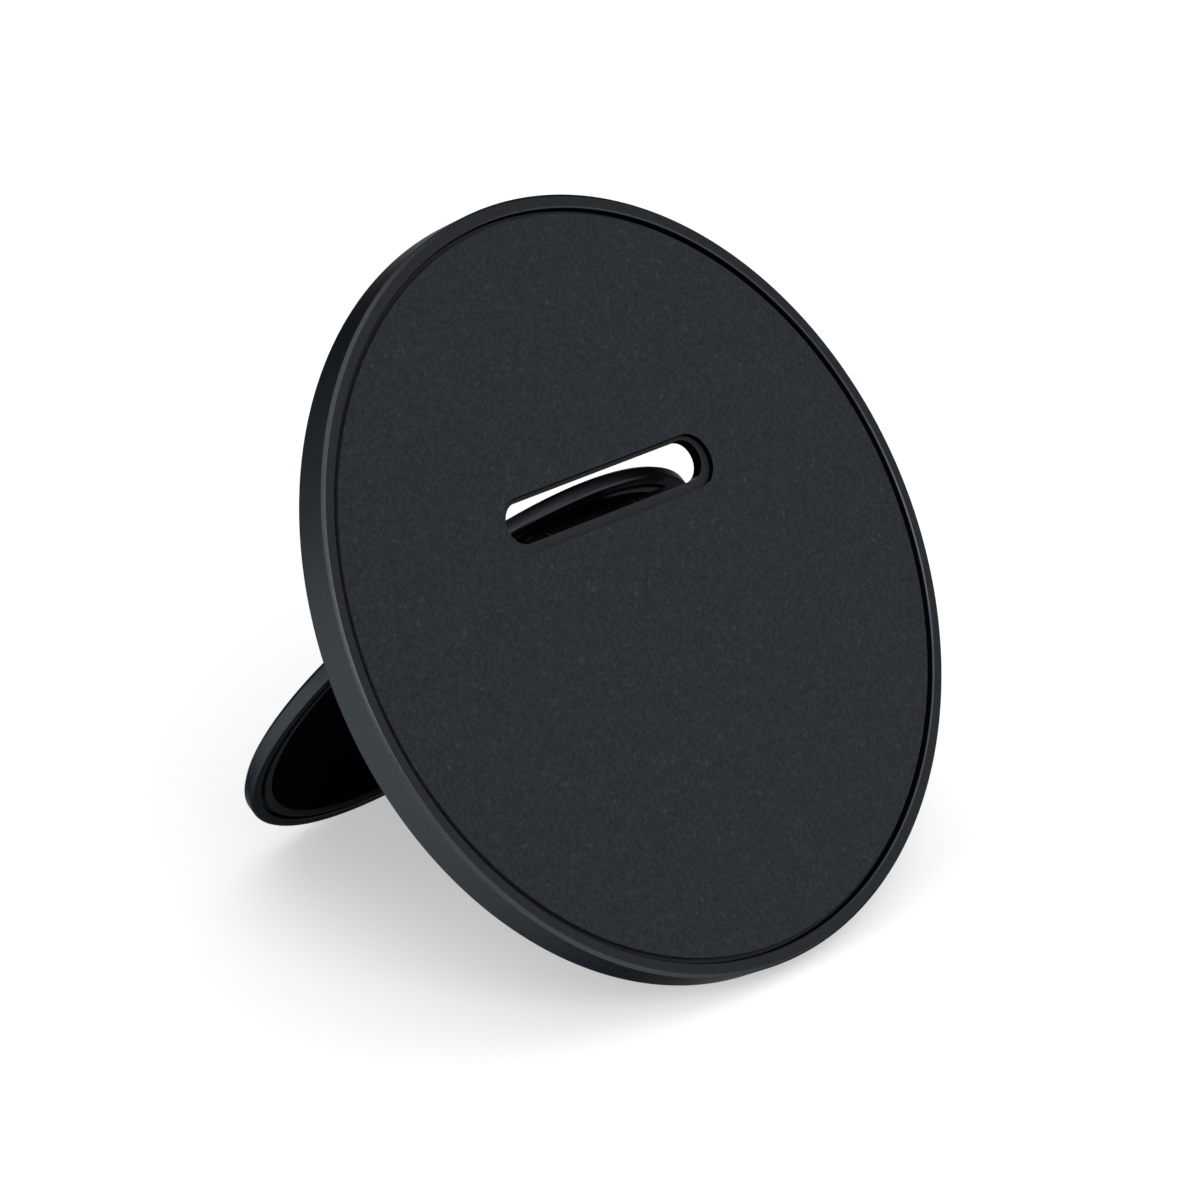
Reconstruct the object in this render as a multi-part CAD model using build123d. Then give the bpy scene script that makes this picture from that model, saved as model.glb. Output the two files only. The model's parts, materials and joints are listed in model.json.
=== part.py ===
from build123d import *
from math import acos, atan2, cos, degrees, hypot, pi, radians, sin, sqrt
import os

# A round magnetic phone stand that folds. A main disc leans back, and a smaller round leg behind it
# props it. The leg turns on a friction hinge, and its top edge swings through a slot in the disc.
# Millimetres. +Z is up, X runs along the hinge axis and +Y points to the back.
# The origin is under the middle of the whole stand, on the surface it stands on.

# ---- standing pose ----
lean_back = 30.45            # main disc, from upright

# ---- main disc ----
disc_radius = 30.0
disc_height = 3.1            # rim wall, front to back
rim_width = 1.1              # front face of the rim, with its chamfers
rim_front_chamfer = 0.25
rim_rear_chamfer = 0.3
rim_inner_chamfer = 0.1

# ---- pad and what lies under it ----
groove = 0.4                 # open ring between rim and pad
pad_recess = 0.18            # pad face, behind the rim's front face
pad_thickness = 0.39
pad_edge_chamfer = 0.1       # outer edge and cut-out
film_thickness = 0.05        # every adhesive film
film_inset = 0.3             # every adhesive film, in from the edge of what it holds
carrier_thickness = 0.88
carrier_gap = 0.1            # radial, inside the rim

# ---- magnet ring, to suit the standard ring in a phone ----
magnet_inner_radius = 23.0
magnet_outer_radius = 28.0
magnet_count = 18
magnet_thickness = 0.67
magnet_rib = 0.3             # carrier wall between two magnets
magnet_gap = 0.03            # round each magnet in its pocket
shield_thickness = 0.4
shield_overlap = 0.4         # shield ring, past the magnets on both sides
shield_gap = 0.2             # radial, round the shield ring

# ---- slot, and the pad's larger cut-out round it that leaves a ledge of the carrier bare ----
slot_bottom = 5.65           # lower edge, up the disc from its centre
slot_half_length = 10.54
slot_clearance = 0.6         # above the leg's top edge as it swings through
ledge_below = 0.77
ledge_above = 0.28
ledge_ends = 0.66

# ---- hinge ----
pin_up = 5.23                # pin axis, up the disc from its centre
pin_proud = 0.4              # pin axis, behind the disc's rear face
pin_radius = 0.4
running_gap = 0.02           # radial, in every hinge bore
sleeve_wall = 0.12
sleeve_slit = 0.15
knuckle_half_length = 4.6    # middle knuckle, on the leg
outer_knuckle_length = 4.4   # each side knuckle, on the disc
washer_thickness = 0.16
washer_radius = 0.8
washer_play = 0.02           # each side of a washer
bracket_thickness = 0.4
bracket_height = 6.4         # plate, below the middle knuckle's cut-out
leaf_thickness = 0.34
leaf_length = 7.0
curl_slit = 0.2              # between a plate and the end of its curl
plate_corner = 0.8
cap_length = 0.5
cap_wall = 0.3
pocket_half_length = 12.8
pocket_corner = 1.0
swing_gap = 0.38             # round what turns in the pocket
let_in_gap = 0.08            # round the bracket, in the back of the housing

# ---- leg ----
leg_radius = 20.85
leg_thickness = 1.25
leg_front_chamfer = 0.15     # inner face, towards the disc
leg_rear_chamfer = 0.3
leg_lip = 0.9
leg_recess = 0.5
inlay_gap = 0.35             # open groove between lip and inlay, and round the leaf's seat
inlay_thickness = 0.42
cove_width = 1.6             # slope inside the inlay's edge, down to its sunk middle
cove_depth = 0.2
cove_margin = 0.2            # flat left outside the cove
leg_top_above_pin = 2.8
leg_face_from_pin = 1.3      # leg's inner face, behind the pin axis
seat_margin = 0.2            # leaf seat, past the leaf's sides and end
opening_limit = 100.0        # leg fully open, from folded flat

# ---- screws ----
screw_radius = 0.5
screw_head_radius = 1.05
screw_head_height = 0.36
screw_hole_gap = 0.05
screw_edge = 1.8             # bracket and leaf screws, in from the plate's edges
screw_row = 2.6              # between their two rows
screw_floor = 0.45           # solid left under a blind screw hole
carrier_screw_circle = 18.0

# ---- derived levels: depths behind the rim's front face ----
pad_front = pad_recess
pad_back = pad_front + pad_thickness
carrier_front = pad_back + film_thickness
carrier_back = carrier_front + carrier_thickness
land_depth = carrier_back + film_thickness
shield_back = carrier_back + shield_thickness
shield_floor = shield_back + film_thickness
recess_radius = disc_radius - rim_width
pad_radius = recess_radius - groove
shield_inner_radius = magnet_inner_radius - shield_overlap
shield_outer_radius = magnet_outer_radius + shield_overlap
land_radius = shield_inner_radius - shield_gap

# ---- derived hinge sizes ----
pin_depth = disc_height + pin_proud
sleeve_inner_radius = pin_radius + running_gap
sleeve_outer_radius = sleeve_inner_radius + sleeve_wall
leaf_bore_radius = sleeve_outer_radius + running_gap
leaf_knuckle_radius = leaf_bore_radius + leaf_thickness
bracket_bore_radius = pin_radius + running_gap
bracket_knuckle_radius = bracket_bore_radius + bracket_thickness
outer_knuckle_start = knuckle_half_length + washer_thickness + 2 * washer_play
outer_knuckle_end = outer_knuckle_start + outer_knuckle_length
pin_half_length = outer_knuckle_end + cap_length - cap_wall / 2
bracket_front = pin_depth - bracket_knuckle_radius
bracket_back = bracket_front + bracket_thickness
cut_out_edge = pin_up - leaf_knuckle_radius - swing_gap
bracket_bottom = cut_out_edge - bracket_height
bracket_screw_row = cut_out_edge - screw_edge
bracket_screw_places = [
    (-outer_knuckle_end + screw_edge, bracket_screw_row),
    (-knuckle_half_length + screw_edge / 2, bracket_screw_row - screw_row),
    (knuckle_half_length - screw_edge / 2, bracket_screw_row - screw_row),
    (outer_knuckle_end - screw_edge, bracket_screw_row),
]
leaf_screw_row = -leaf_length + screw_edge
leaf_screw_places = [
    (-knuckle_half_length + screw_edge, leaf_screw_row + screw_row),
    (knuckle_half_length - screw_edge, leaf_screw_row + screw_row),
    (0, leaf_screw_row),
]
carrier_screw_places = [
    (carrier_screw_circle * cos(radians(a)), carrier_screw_circle * sin(radians(a)))
    for a in (-135, -45, 45, 135)
]
bracket_screw_length = bracket_back - land_depth - screw_floor
carrier_screw_length = disc_height - carrier_front - screw_floor

# ---- derived leg sizes: heights from the pin axis, towards the disc ----
leg_centre = leg_top_above_pin - leg_radius
leg_inner_face = -leg_face_from_pin
leg_outer_face = leg_inner_face - leg_thickness
leg_floor = leg_inner_face - leg_recess
leaf_back = -leaf_knuckle_radius
leaf_front = leaf_back + leaf_thickness
leg_inner_radius = leg_radius - leg_lip
inlay_radius = leg_inner_radius - inlay_gap
cove_radius = inlay_radius - cove_margin
leaf_screw_length = leaf_front - leg_outer_face - screw_floor

# The slot and the pocket behind it clear the leg's top edge as it swings round the pin.
leg_swing = hypot(leg_top_above_pin, leg_face_from_pin + leg_thickness - leg_rear_chamfer)
pocket_top = pin_up + leg_swing + swing_gap
pocket_bottom = cut_out_edge
slot_top = pin_up + sqrt(leg_swing**2 - (pin_depth - carrier_back) ** 2) + slot_clearance
cut_out_bottom = slot_bottom - ledge_below
cut_out_top = slot_top + ledge_above
cut_out_half_length = slot_half_length + ledge_ends

# ---- the leg's angle in the standing pose ----
# Both discs touch the surface: the main disc on its rear edge, the leg on its inner edge.
lean = radians(lean_back)
disc_low = -disc_radius * cos(lean) - (disc_height - rim_rear_chamfer) * sin(lean)
pin_height = pin_up * cos(lean) - pin_depth * sin(lean)
leg_reach = 2 * leg_radius - leg_top_above_pin
leg_offset = leg_face_from_pin + leg_front_chamfer
leg_from_upright = degrees(
    acos((pin_height - disc_low) / hypot(leg_reach, leg_offset)) - atan2(leg_offset, leg_reach)
)
opening = lean_back + leg_from_upright


def plate(outline, back, front):
    """A flat piece from an outline in the disc's plane, between two heights."""
    return Pos(0, 0, back) * extrude(outline, front - back)


def edges_at(solid, height):
    """The edges that lie flat at one height, the longest first."""
    flat = solid.edges().filter_by_position(Axis.Z, height - 0.001, height + 0.001)
    return flat.sort_by(Edge.length, reverse=True)


def stadium(half_length, low, high, grow=0):
    """A round-ended outline across the disc, between two heights up it, grown all round."""
    outline = SlotOverall(2 * (half_length + grow), high - low + 2 * grow)
    return Pos(0, (low + high) / 2) * outline


def rounded_box(left, right, low, high, corner):
    """A rectangle with rounded corners, from its four sides."""
    middle = Pos((left + right) / 2, (low + high) / 2)
    return middle * RectangleRounded(right - left, high - low, corner)


def tube(outer, inner, start, end):
    """A tube along X round the pin axis, between two stations."""
    ring = Plane.YZ.offset(start) * (Circle(outer) - Circle(inner))
    return extrude(ring, end - start)


def screw(length, grow=0):
    """A flat-head screw that points down from height 0; grown all round, it cuts its own hole."""
    radius = screw_radius + grow
    depth = length + grow
    head = Pos(0, 0, -screw_head_height / 2) * Cone(
        radius, screw_head_radius + grow, screw_head_height
    )
    return head + Pos(0, 0, -depth / 2) * Cylinder(radius, depth)


def screws(places, length, height, flip=False):
    """One screw at each place, heads at one height; flip points them to the front."""
    turn = Rot(180, 0, 0) if flip else Rot(0, 0, 0)
    return [Pos(x, y, height) * turn * screw(length) for x, y in places]


def drill(solid, places, length, height, flip=False):
    """Cut the screws' holes out of a solid."""
    turn = Rot(180, 0, 0) if flip else Rot(0, 0, 0)
    for x, y in places:
        solid -= Pos(x, y, height) * turn * screw(length, screw_hole_gap)
    return solid


# ---- pieces of the main disc: X across, Y up the disc, Z to the front, rim's front face at 0 ----


def make_disc_housing():
    body = Pos(0, 0, -disc_height / 2) * Cylinder(disc_radius, disc_height)
    body = chamfer(edges_at(body, 0), rim_front_chamfer)
    body = chamfer(edges_at(body, -disc_height), rim_rear_chamfer)
    body -= plate(Circle(recess_radius), -land_depth, 0)
    body = chamfer(edges_at(body, 0)[-1:], rim_inner_chamfer)
    ring_pocket = Circle(recess_radius) - Circle(land_radius)
    body -= plate(ring_pocket, -shield_floor, -land_depth)
    pocket = rounded_box(
        -pocket_half_length, pocket_half_length, pocket_bottom, pocket_top, pocket_corner
    )
    body -= plate(pocket, -disc_height, 0)
    let_in = rounded_box(
        -outer_knuckle_end - let_in_gap,
        outer_knuckle_end + let_in_gap,
        bracket_bottom - let_in_gap,
        pocket_bottom + pocket_corner,
        plate_corner,
    )
    body -= plate(let_in, -disc_height, -bracket_front)
    body = drill(body, bracket_screw_places, bracket_screw_length, -bracket_back, flip=True)
    return drill(body, carrier_screw_places, carrier_screw_length, -carrier_front)


def make_front_pad():
    cut_out = stadium(cut_out_half_length, cut_out_bottom, cut_out_top)
    pad = plate(Circle(pad_radius) - cut_out, -pad_back, -pad_front)
    return chamfer(edges_at(pad, -pad_front), pad_edge_chamfer)


def make_pad_adhesive():
    cut_out = stadium(cut_out_half_length, cut_out_bottom, cut_out_top, film_inset)
    return plate(Circle(pad_radius - film_inset) - cut_out, -carrier_front, -pad_back)


def magnet_outline(grow):
    """One magnet of the ring, grown on every side."""
    half_angle = pi / magnet_count
    middle_radius = (magnet_inner_radius + magnet_outer_radius) / 2
    half_width = middle_radius * half_angle - magnet_rib / 2
    spread = degrees(2 * (half_width + grow) / middle_radius)
    ring = Circle(magnet_outer_radius + grow) - Circle(magnet_inner_radius - grow)
    far = 2 * magnet_outer_radius
    left = far * sin(radians(spread / 2))
    ahead = far * cos(radians(spread / 2))
    wedge = make_face(Polyline((0, 0), (-left, ahead), (left, ahead), close=True))
    return ring & wedge


def around_ring(outline):
    """The outline repeated for every magnet of the ring."""
    return [Rot(0, 0, i * 360 / magnet_count) * outline for i in range(magnet_count)]


def make_magnet_carrier():
    carrier = plate(Circle(recess_radius - carrier_gap), -carrier_back, -carrier_front)
    slot = stadium(slot_half_length, slot_bottom, slot_top)
    carrier -= plate(slot, -carrier_back, -carrier_front)
    pocket_front = carrier_back - magnet_thickness - magnet_gap
    for outline in around_ring(magnet_outline(magnet_gap)):
        carrier -= plate(outline, -carrier_back, -pocket_front)
    return drill(carrier, carrier_screw_places, carrier_screw_length, -carrier_front)


def make_ring_magnets():
    front = carrier_back - magnet_thickness
    return [plate(outline, -carrier_back, -front) for outline in around_ring(magnet_outline(0))]


def make_carrier_adhesive():
    pocket = rounded_box(
        -pocket_half_length - film_inset,
        pocket_half_length + film_inset,
        pocket_bottom - film_inset,
        pocket_top + film_inset,
        pocket_corner,
    )
    film = plate(Circle(land_radius - film_inset) - pocket, -land_depth, -carrier_back)
    return drill(film, carrier_screw_places, carrier_screw_length, -carrier_front)


def make_carrier_screws():
    return screws(carrier_screw_places, carrier_screw_length, -carrier_front)


def make_shield_ring():
    ring = Circle(shield_outer_radius) - Circle(shield_inner_radius)
    return plate(ring, -shield_back, -carrier_back)


def make_shield_adhesive():
    ring = Circle(shield_outer_radius - film_inset) - Circle(shield_inner_radius + film_inset)
    return plate(ring, -shield_floor, -shield_back)


def on_pin(piece):
    """Move a piece from the pin axis at the origin to the hinge in the disc."""
    return Pos(0, pin_up, -pin_depth) * piece


def curled_knuckle(outer, inner, start, end):
    """A knuckle round the pin axis, open where its curl ends below a plate at the front."""
    knuckle = tube(outer, inner, start, end)
    wall_middle = (outer + inner) / 2
    reach = outer - inner
    slit = Pos((start + end) / 2, -wall_middle, outer - reach - curl_slit / 2)
    return knuckle - slit * Box(end - start, reach * 2, curl_slit)


def make_hinge_bracket():
    outline = rounded_box(
        -outer_knuckle_end, outer_knuckle_end, bracket_bottom, cut_out_edge, plate_corner
    )
    arm_bottom = cut_out_edge - plate_corner
    for side in (-1, 1):
        middle = side * (outer_knuckle_start + outer_knuckle_end) / 2
        arm = Rectangle(outer_knuckle_length, pin_up - arm_bottom)
        outline += Pos(middle, (pin_up + arm_bottom) / 2) * arm
    bracket = plate(outline, -bracket_back, -bracket_front)
    for start in (-outer_knuckle_end, outer_knuckle_start):
        bracket += on_pin(
            curled_knuckle(
                bracket_knuckle_radius, bracket_bore_radius, start, start + outer_knuckle_length
            )
        )
    return drill(bracket, bracket_screw_places, bracket_screw_length, -bracket_back, flip=True)


def make_bracket_screws():
    return screws(bracket_screw_places, bracket_screw_length, -bracket_back, flip=True)


def make_hinge_pin():
    pin = Rot(0, 90, 0) * Cylinder(pin_radius, 2 * pin_half_length)
    ends = pin.edges().filter_by(GeomType.CIRCLE)
    return on_pin(chamfer(ends, pin_radius / 4))


def make_pin_caps():
    """Each cap grips the end of the pin in a blind bore."""
    caps = []
    for side in (-1, 1):
        outer_radius = pin_radius + cap_wall
        cap = Pos(cap_length / 2, 0, 0) * Rot(0, 90, 0) * Cylinder(outer_radius, cap_length)
        cap = chamfer(cap.edges().sort_by(Axis.X)[-1:], cap_wall / 2)
        bore_length = pin_half_length - outer_knuckle_end
        cap -= Pos(bore_length / 2, 0, 0) * Rot(0, 90, 0) * Cylinder(pin_radius, bore_length)
        turn = Rot(0, 0, 0) if side > 0 else Rot(0, 0, 180)
        caps.append(on_pin(Pos(side * outer_knuckle_end, 0, 0) * turn * cap))
    return caps


def make_thrust_washers():
    start = knuckle_half_length + washer_play
    ends = (start, -start - washer_thickness)
    return [on_pin(tube(washer_radius, sleeve_inner_radius, x, x + washer_thickness)) for x in ends]


# ---- pieces of the leg: X along the pin, Y up the leg, Z from the pin axis towards the disc ----


def leaf_outline(grow):
    """The leaf's plate below the pin axis, grown on its sides and end."""
    half = knuckle_half_length + grow
    return rounded_box(-half, half, -leaf_length - grow, plate_corner, plate_corner) & (
        Pos(0, -leaf_length / 2 - grow) * Rectangle(2 * half, leaf_length + 2 * grow)
    )


def seat_outline(grow):
    """The raised seat under the leaf, kept clear of the middle knuckle."""
    top = -leaf_knuckle_radius - swing_gap
    half = knuckle_half_length + seat_margin + grow
    return rounded_box(-half, half, -leaf_length - seat_margin - grow, top + grow, plate_corner)


def make_leg_disc():
    leg = Pos(0, leg_centre, (leg_inner_face + leg_outer_face) / 2) * Cylinder(leg_radius, leg_thickness)
    leg = chamfer(edges_at(leg, leg_inner_face), leg_front_chamfer)
    leg = chamfer(edges_at(leg, leg_outer_face), leg_rear_chamfer)
    leg -= plate(Pos(0, leg_centre) * Circle(leg_inner_radius), leg_floor, leg_inner_face)
    leg += plate(seat_outline(0), leg_floor, leaf_back)
    return drill(leg, leaf_screw_places, leaf_screw_length, leaf_front)


def make_leg_inlay():
    face = Pos(0, leg_centre) * Circle(inlay_radius) - seat_outline(inlay_gap)
    bottom = leg_floor + film_thickness
    top = bottom + inlay_thickness
    cove = Cone(cove_radius - cove_width, cove_radius, cove_depth)
    return plate(face, bottom, top) - Pos(0, leg_centre, top - cove_depth / 2) * cove


def make_inlay_adhesive():
    cut_out = seat_outline(inlay_gap + film_inset)
    face = Pos(0, leg_centre) * Circle(inlay_radius - film_inset) - cut_out
    return plate(face, leg_floor, leg_floor + film_thickness)


def make_hinge_leaf():
    leaf = plate(leaf_outline(0), leaf_back, leaf_front)
    knuckle = curled_knuckle(
        leaf_knuckle_radius, leaf_bore_radius, -knuckle_half_length, knuckle_half_length
    )
    leaf += mirror(knuckle, about=Plane.XY)
    return drill(leaf, leaf_screw_places, leaf_screw_length, leaf_front)


def make_leaf_screws():
    return screws(leaf_screw_places, leaf_screw_length, leaf_front)


def make_friction_sleeve():
    sleeve = tube(sleeve_outer_radius, sleeve_inner_radius, -knuckle_half_length, knuckle_half_length)
    slit = Pos(0, 0, sleeve_outer_radius / 2 + pin_radius / 2)
    return sleeve - slit * Box(2 * knuckle_half_length, sleeve_slit, pin_radius)


disc_pieces = {
    "disc_housing": make_disc_housing(),
    "front_pad": make_front_pad(),
    "pad_adhesive": make_pad_adhesive(),
    "magnet_carrier": make_magnet_carrier(),
    "ring_magnets": make_ring_magnets(),
    "carrier_adhesive": make_carrier_adhesive(),
    "carrier_screws": make_carrier_screws(),
    "shield_ring": make_shield_ring(),
    "shield_adhesive": make_shield_adhesive(),
    "hinge_bracket": make_hinge_bracket(),
    "bracket_screws": make_bracket_screws(),
    "hinge_pin": make_hinge_pin(),
    "pin_caps": make_pin_caps(),
    "thrust_washers": make_thrust_washers(),
}

leg_pieces = {
    "leg_disc": make_leg_disc(),
    "leg_inlay": make_leg_inlay(),
    "inlay_adhesive": make_inlay_adhesive(),
    "hinge_leaf": make_hinge_leaf(),
    "leaf_screws": make_leaf_screws(),
    "friction_sleeve": make_friction_sleeve(),
}

# ---- stand the two discs up ----
disc_stance = Rot(90 - lean_back, 0, 0)
leg_stance = disc_stance * Pos(0, pin_up, -pin_depth) * Rot(opening, 0, 0)


def as_solids(piece):
    """Every solid of a piece or of a list of pieces."""
    parts = piece if isinstance(piece, list) else [piece]
    return [solid for part in parts for solid in part.solids()]


standing = {}
for name, piece in disc_pieces.items():
    standing[name] = [disc_stance * solid for solid in as_solids(piece)]
for name, piece in leg_pieces.items():
    standing[name] = [leg_stance * solid for solid in as_solids(piece)]

box = Compound([solid for solids in standing.values() for solid in solids]).bounding_box()
to_origin = Pos(0, -(box.min.Y + box.max.Y) / 2, -box.min.Z)

os.makedirs("parts", exist_ok=True)
for name, solids in standing.items():
    placed = [to_origin * solid for solid in solids]
    whole = placed[0] if len(placed) == 1 else Compound(placed)
    export_step(whole, f"parts/{name}.step")

pin_point = (to_origin * disc_stance * Pos(0, pin_up, -pin_depth)).position
pad_point = (to_origin * disc_stance * Pos(0, -disc_radius / 2, -pad_front)).position
leg_back_point = (to_origin * leg_stance * Pos(0, leg_centre, leg_outer_face)).position
print("overall size", box.size)
print("pin axis", pin_point)
print("pad face", pad_point, "leg's outer face", leg_back_point)
print("leg from upright", leg_from_upright, "opening", opening)
print("leg range", -opening, opening_limit - opening)
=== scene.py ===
import bmesh
import bpy
import json
from math import cos, hypot, pi, radians, sin, sqrt
from mathutils import Matrix, Vector


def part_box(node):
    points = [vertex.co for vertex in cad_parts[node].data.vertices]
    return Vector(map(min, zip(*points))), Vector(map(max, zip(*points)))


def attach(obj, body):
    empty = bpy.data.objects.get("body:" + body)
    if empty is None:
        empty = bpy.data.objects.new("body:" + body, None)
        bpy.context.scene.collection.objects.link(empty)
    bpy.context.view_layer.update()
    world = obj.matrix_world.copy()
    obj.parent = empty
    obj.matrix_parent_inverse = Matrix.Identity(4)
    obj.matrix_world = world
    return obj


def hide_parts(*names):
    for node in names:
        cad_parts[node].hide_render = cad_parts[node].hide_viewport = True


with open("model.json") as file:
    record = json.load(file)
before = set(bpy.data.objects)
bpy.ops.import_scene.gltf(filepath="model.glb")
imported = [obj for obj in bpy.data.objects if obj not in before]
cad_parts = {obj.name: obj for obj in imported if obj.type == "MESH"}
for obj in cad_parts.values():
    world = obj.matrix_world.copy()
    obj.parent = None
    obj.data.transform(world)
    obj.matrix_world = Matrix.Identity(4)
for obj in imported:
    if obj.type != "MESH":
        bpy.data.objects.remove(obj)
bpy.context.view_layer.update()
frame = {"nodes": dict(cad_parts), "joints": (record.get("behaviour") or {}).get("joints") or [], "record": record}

# The looks of a folding magnetic phone stand: a main disc that leans back, and a round leg behind it.
# Lengths are millimetres in two local spaces. Disc space has X across, Y up the disc and Z to the
# front, with the rim's front face at 0. Leg space has X along the hinge pin, Y up the leg and Z
# towards the disc, with the pin at 0.
MILLIMETRE = 0.001
MICROMETRE = 0.000001
PAST = 1.0                   # how far a cutter stands past the face that it cuts

# ---- steps in curves ----
CIRCLE_POINTS = 256          # full circle
SLOT_END_STEPS = 48
PLATE_CORNER_STEPS = 10
CURL_STEPS = 72              # round a knuckle
POCKET_STEPS = 12            # along a curved side of a magnet's pocket
COVE_STEPS = 16
EDGE_STEPS = 4               # softened edge of a turned solid
MOUTH_TURN = 15              # degrees in each step of a cutter's rounded mouth

# ---- driving sizes, as in the CAD source ----
disc_low, disc_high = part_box("disc_housing")
disc_radius = min(disc_high.x, -disc_low.x) / MILLIMETRE
disc_height = 3.1            # rim wall, front to back
rim_width = 1.1              # front face of the rim, with its chamfers
rim_front_chamfer = 0.25
rim_rear_chamfer = 0.3
rim_inner_chamfer = 0.1
groove = 0.4                 # open ring between rim and pad
pad_recess = 0.18            # pad face, behind the rim's front face
pad_thickness = 0.39
pad_edge = 0.1               # rounding of the pad's outer edge
film_thickness = 0.05        # every adhesive film
carrier_thickness = 0.88
carrier_gap = 0.1            # radial, inside the rim
magnet_inner_radius = 23.0
magnet_outer_radius = 28.0
magnet_count = 18            # first one at the top of the ring
magnet_thickness = 0.67
magnet_rib = 0.3             # carrier wall between two magnets
magnet_gap = 0.03            # round each magnet in its pocket
shield_thickness = 0.4
shield_overlap = 0.4         # shield ring, past the magnets on both sides
shield_gap = 0.2             # radial, round the shield ring
slot_bottom = 5.65           # lower edge, up the disc from its centre
slot_half_length = 10.54
slot_clearance = 0.6         # above the leg's top edge as it swings through
ledge_below = 0.77           # bare carrier round the slot, inside the pad's cut-out
ledge_above = 0.28
ledge_ends = 0.66
pin_up = 5.23                # pin axis, up the disc from its centre
pin_proud = 0.4              # pin axis, behind the disc's rear face
pin_radius = 0.4
running_gap = 0.02           # radial, in every hinge bore
sleeve_wall = 0.12
knuckle_half_length = 4.6    # middle knuckle, on the leg
outer_knuckle_length = 4.4   # each side knuckle, on the disc
washer_thickness = 0.16
washer_play = 0.02           # each side of a washer
bracket_thickness = 0.4
bracket_height = 6.4         # plate, below the middle knuckle's cut-out
leaf_thickness = 0.34
leaf_length = 7.0
plate_corner = 0.8
cap_length = 0.5
cap_wall = 0.3
pocket_half_length = 12.8
pocket_corner = 1.0
swing_gap = 0.38             # round what turns in the pocket
let_in_gap = 0.08            # round the bracket, in the back of the housing
leg_low, leg_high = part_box("leg_disc")
leg_radius = min(leg_high.x, -leg_low.x) / MILLIMETRE
leg_thickness = 1.25
leg_front_chamfer = 0.15     # inner face, towards the disc
leg_rear_chamfer = 0.3
leg_lip = 0.9
leg_recess = 0.5
leg_top_above_pin = 2.8
leg_face_from_pin = 1.3      # leg's inner face, behind the pin axis
inlay_gap = 0.35             # open groove between lip and inlay, and round the leaf's seat
inlay_thickness = 0.42
cove_width = 1.6             # slope inside the inlay's edge, down to its sunk middle
cove_depth = 0.2
cove_margin = 0.2            # flat left outside the cove
seat_margin = 0.2            # leaf seat, past the leaf's sides and end
screw_radius = 0.5
screw_head_radius = 1.05
screw_head_height = 0.36
screw_hole_gap = 0.05
screw_edge = 1.8             # bracket and leaf screws, in from the plate's edges
screw_row = 2.6              # between their two rows
screw_floor = 0.45           # solid left under a blind screw hole
carrier_screw_circle = 18.0

# ---- edges and small forms that only the looks have ----
housing_middle = 24.0        # radius of the flat face that closes the turned housing
plate_middle = 20.0          # the same for the pad and the carrier
leg_middle = 14.0
inlay_middle = 12.0
axis_middle = 0.1            # the same for screws and pin caps
mouth_lift = 0.1             # share of a mouth's radius, from the face up to the end of its flare
rim_rear_edge = 0.12         # radius of the rounding, here and in the next lines
rim_front_edge = 0.08
rim_inner_edge = 0.05
pocket_edge = 0.1            # round the hinge's pocket
let_in_edge = 0.06
pad_rear_edge = 0.04
pad_mouth_edge = 0.12        # round the pad's cut-out
carrier_edge = 0.05          # outer edges, and round the slot
leg_rear_edge = 0.1
leg_front_edge = 0.08
seat_edge = 0.06
seat_root = 0.2              # leaf's seat, down into the leg's floor
inlay_foot_edge = 0.02
inlay_top_edge = ((0, 0.06), (0.03, 0.015), (0.08, 0))  # inwards and down from the corner
inlay_mouth_edge = 0.05
# The border's finish is a lighter, glossier copy of the inlay's; its lighter colour is a painted sheen.
inlay_border_share = 0.45    # of the cove, from its outer side, in the border's finish
plate_break = 0.03           # broken edge of a pressed plate, inwards
plate_break_depth = 0.04
knuckle_break = 0.04         # broken end of a knuckle, inwards
knuckle_break_length = 0.06
arm_corner = 0.05
arm_root = 1.6 * plate_corner  # bracket's arms, down into its plate
leaf_root = 0.2              # leaf's plate, up into its curl
bracket_curl = (160, 490)    # degrees round the pin, from straight up towards the front
leaf_curl = (-130, 209)
cap_round = 0.2              # outer end of a pin cap
cap_mouth_edge = 0.04
screw_tip = 0.12             # chamfer at a screw's point
screw_soft_edge = 0.05
head_rim_height = 0.03
head_rim_inset = 0.05
head_side_edge = 0.03
head_top_edge = 0.04
cross_half_length = 0.62
cross_half_width = 0.13
cross_corner = 0.06
cross_path = [(-0.05, -0.3), (0.0, -0.1), (0.03, 0.05)]
screw_spin = 37              # degrees from one screw's cross to the next

# ---- derived levels: depths behind the rim's front face ----
pad_back = pad_recess + pad_thickness
carrier_front = pad_back + film_thickness
carrier_back = carrier_front + carrier_thickness
land_depth = carrier_back + film_thickness
shield_floor = carrier_back + shield_thickness + film_thickness
recess_radius = disc_radius - rim_width
pad_radius = recess_radius - groove
carrier_radius = recess_radius - carrier_gap
land_radius = magnet_inner_radius - shield_overlap - shield_gap

# ---- derived hinge sizes ----
pin_depth = disc_height + pin_proud
leaf_bore_radius = pin_radius + running_gap + sleeve_wall + running_gap
leaf_knuckle_radius = leaf_bore_radius + leaf_thickness
bracket_bore_radius = pin_radius + running_gap
bracket_knuckle_radius = bracket_bore_radius + bracket_thickness
outer_knuckle_start = knuckle_half_length + washer_thickness + 2 * washer_play
outer_knuckle_end = outer_knuckle_start + outer_knuckle_length
bracket_front = pin_depth - bracket_knuckle_radius
bracket_back = bracket_front + bracket_thickness
leaf_back = -leaf_knuckle_radius
leaf_front = leaf_back + leaf_thickness

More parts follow.
